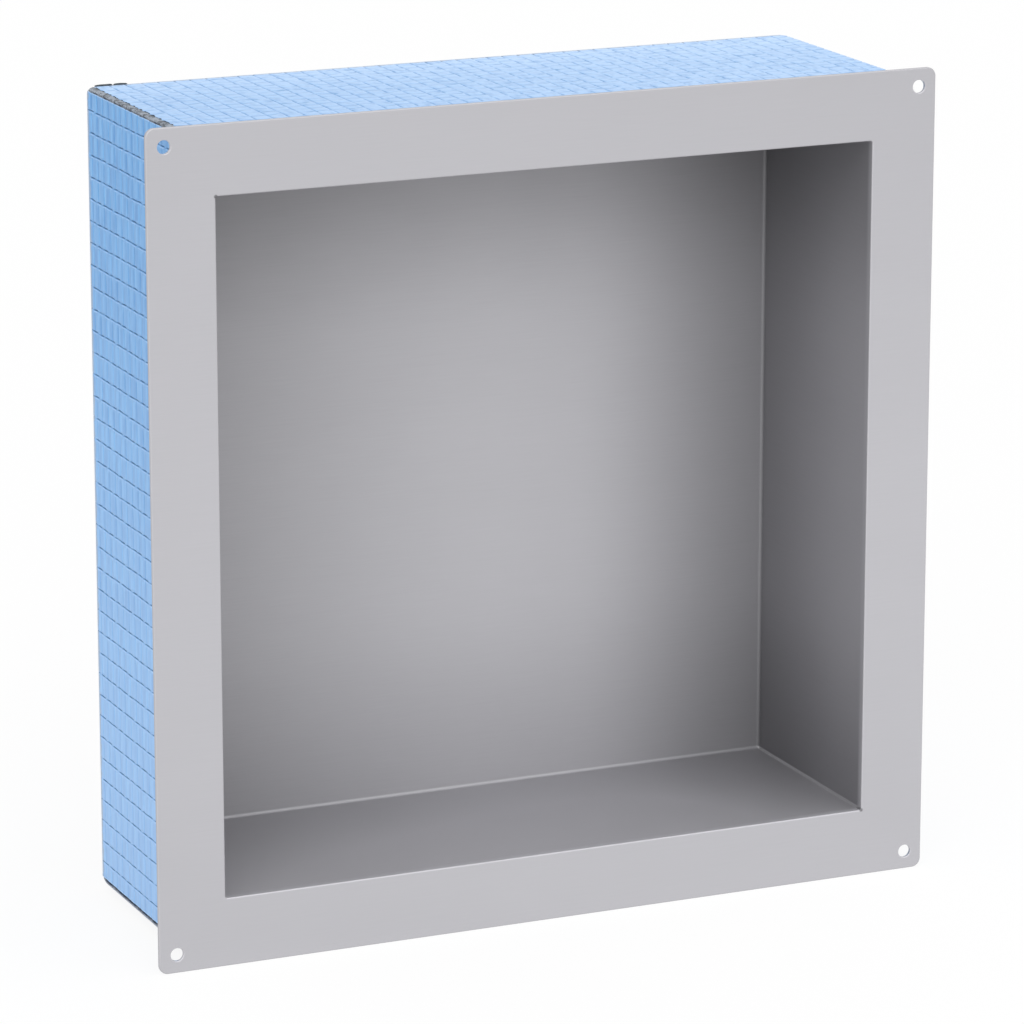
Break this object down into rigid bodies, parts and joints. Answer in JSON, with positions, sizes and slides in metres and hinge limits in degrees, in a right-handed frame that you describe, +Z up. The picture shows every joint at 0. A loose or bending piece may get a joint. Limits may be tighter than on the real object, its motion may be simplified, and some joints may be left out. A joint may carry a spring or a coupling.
{
  "type": "shower niche insert",
  "caption": "Square steel recess with a flat screw flange, set in a foam block covered with blue scored mats. It is built into a wall and holds bath goods.",
  "frame": {"origin": "centre of the four screw holes, on the flange's back face, which lies on the wall", "axes": "+X to the right as seen from the room, +Y into the wall, +Z up"},
  "size_m": [0.36, 0.116, 0.36],
  "materials": {
    "steel": "satin, finely brushed",
    "insulation": "matt moulded foam",
    "mat": "matt foam, scored"
  },
  "bodies": {
    "root": {"niche_body": "steel", "insulation_surround": "insulation", "mat_left": "mat", "mat_right": "mat", "mat_top": "mat", "mat_bottom": "mat", "mat_back": "mat"}
  },
  "joints": []
}
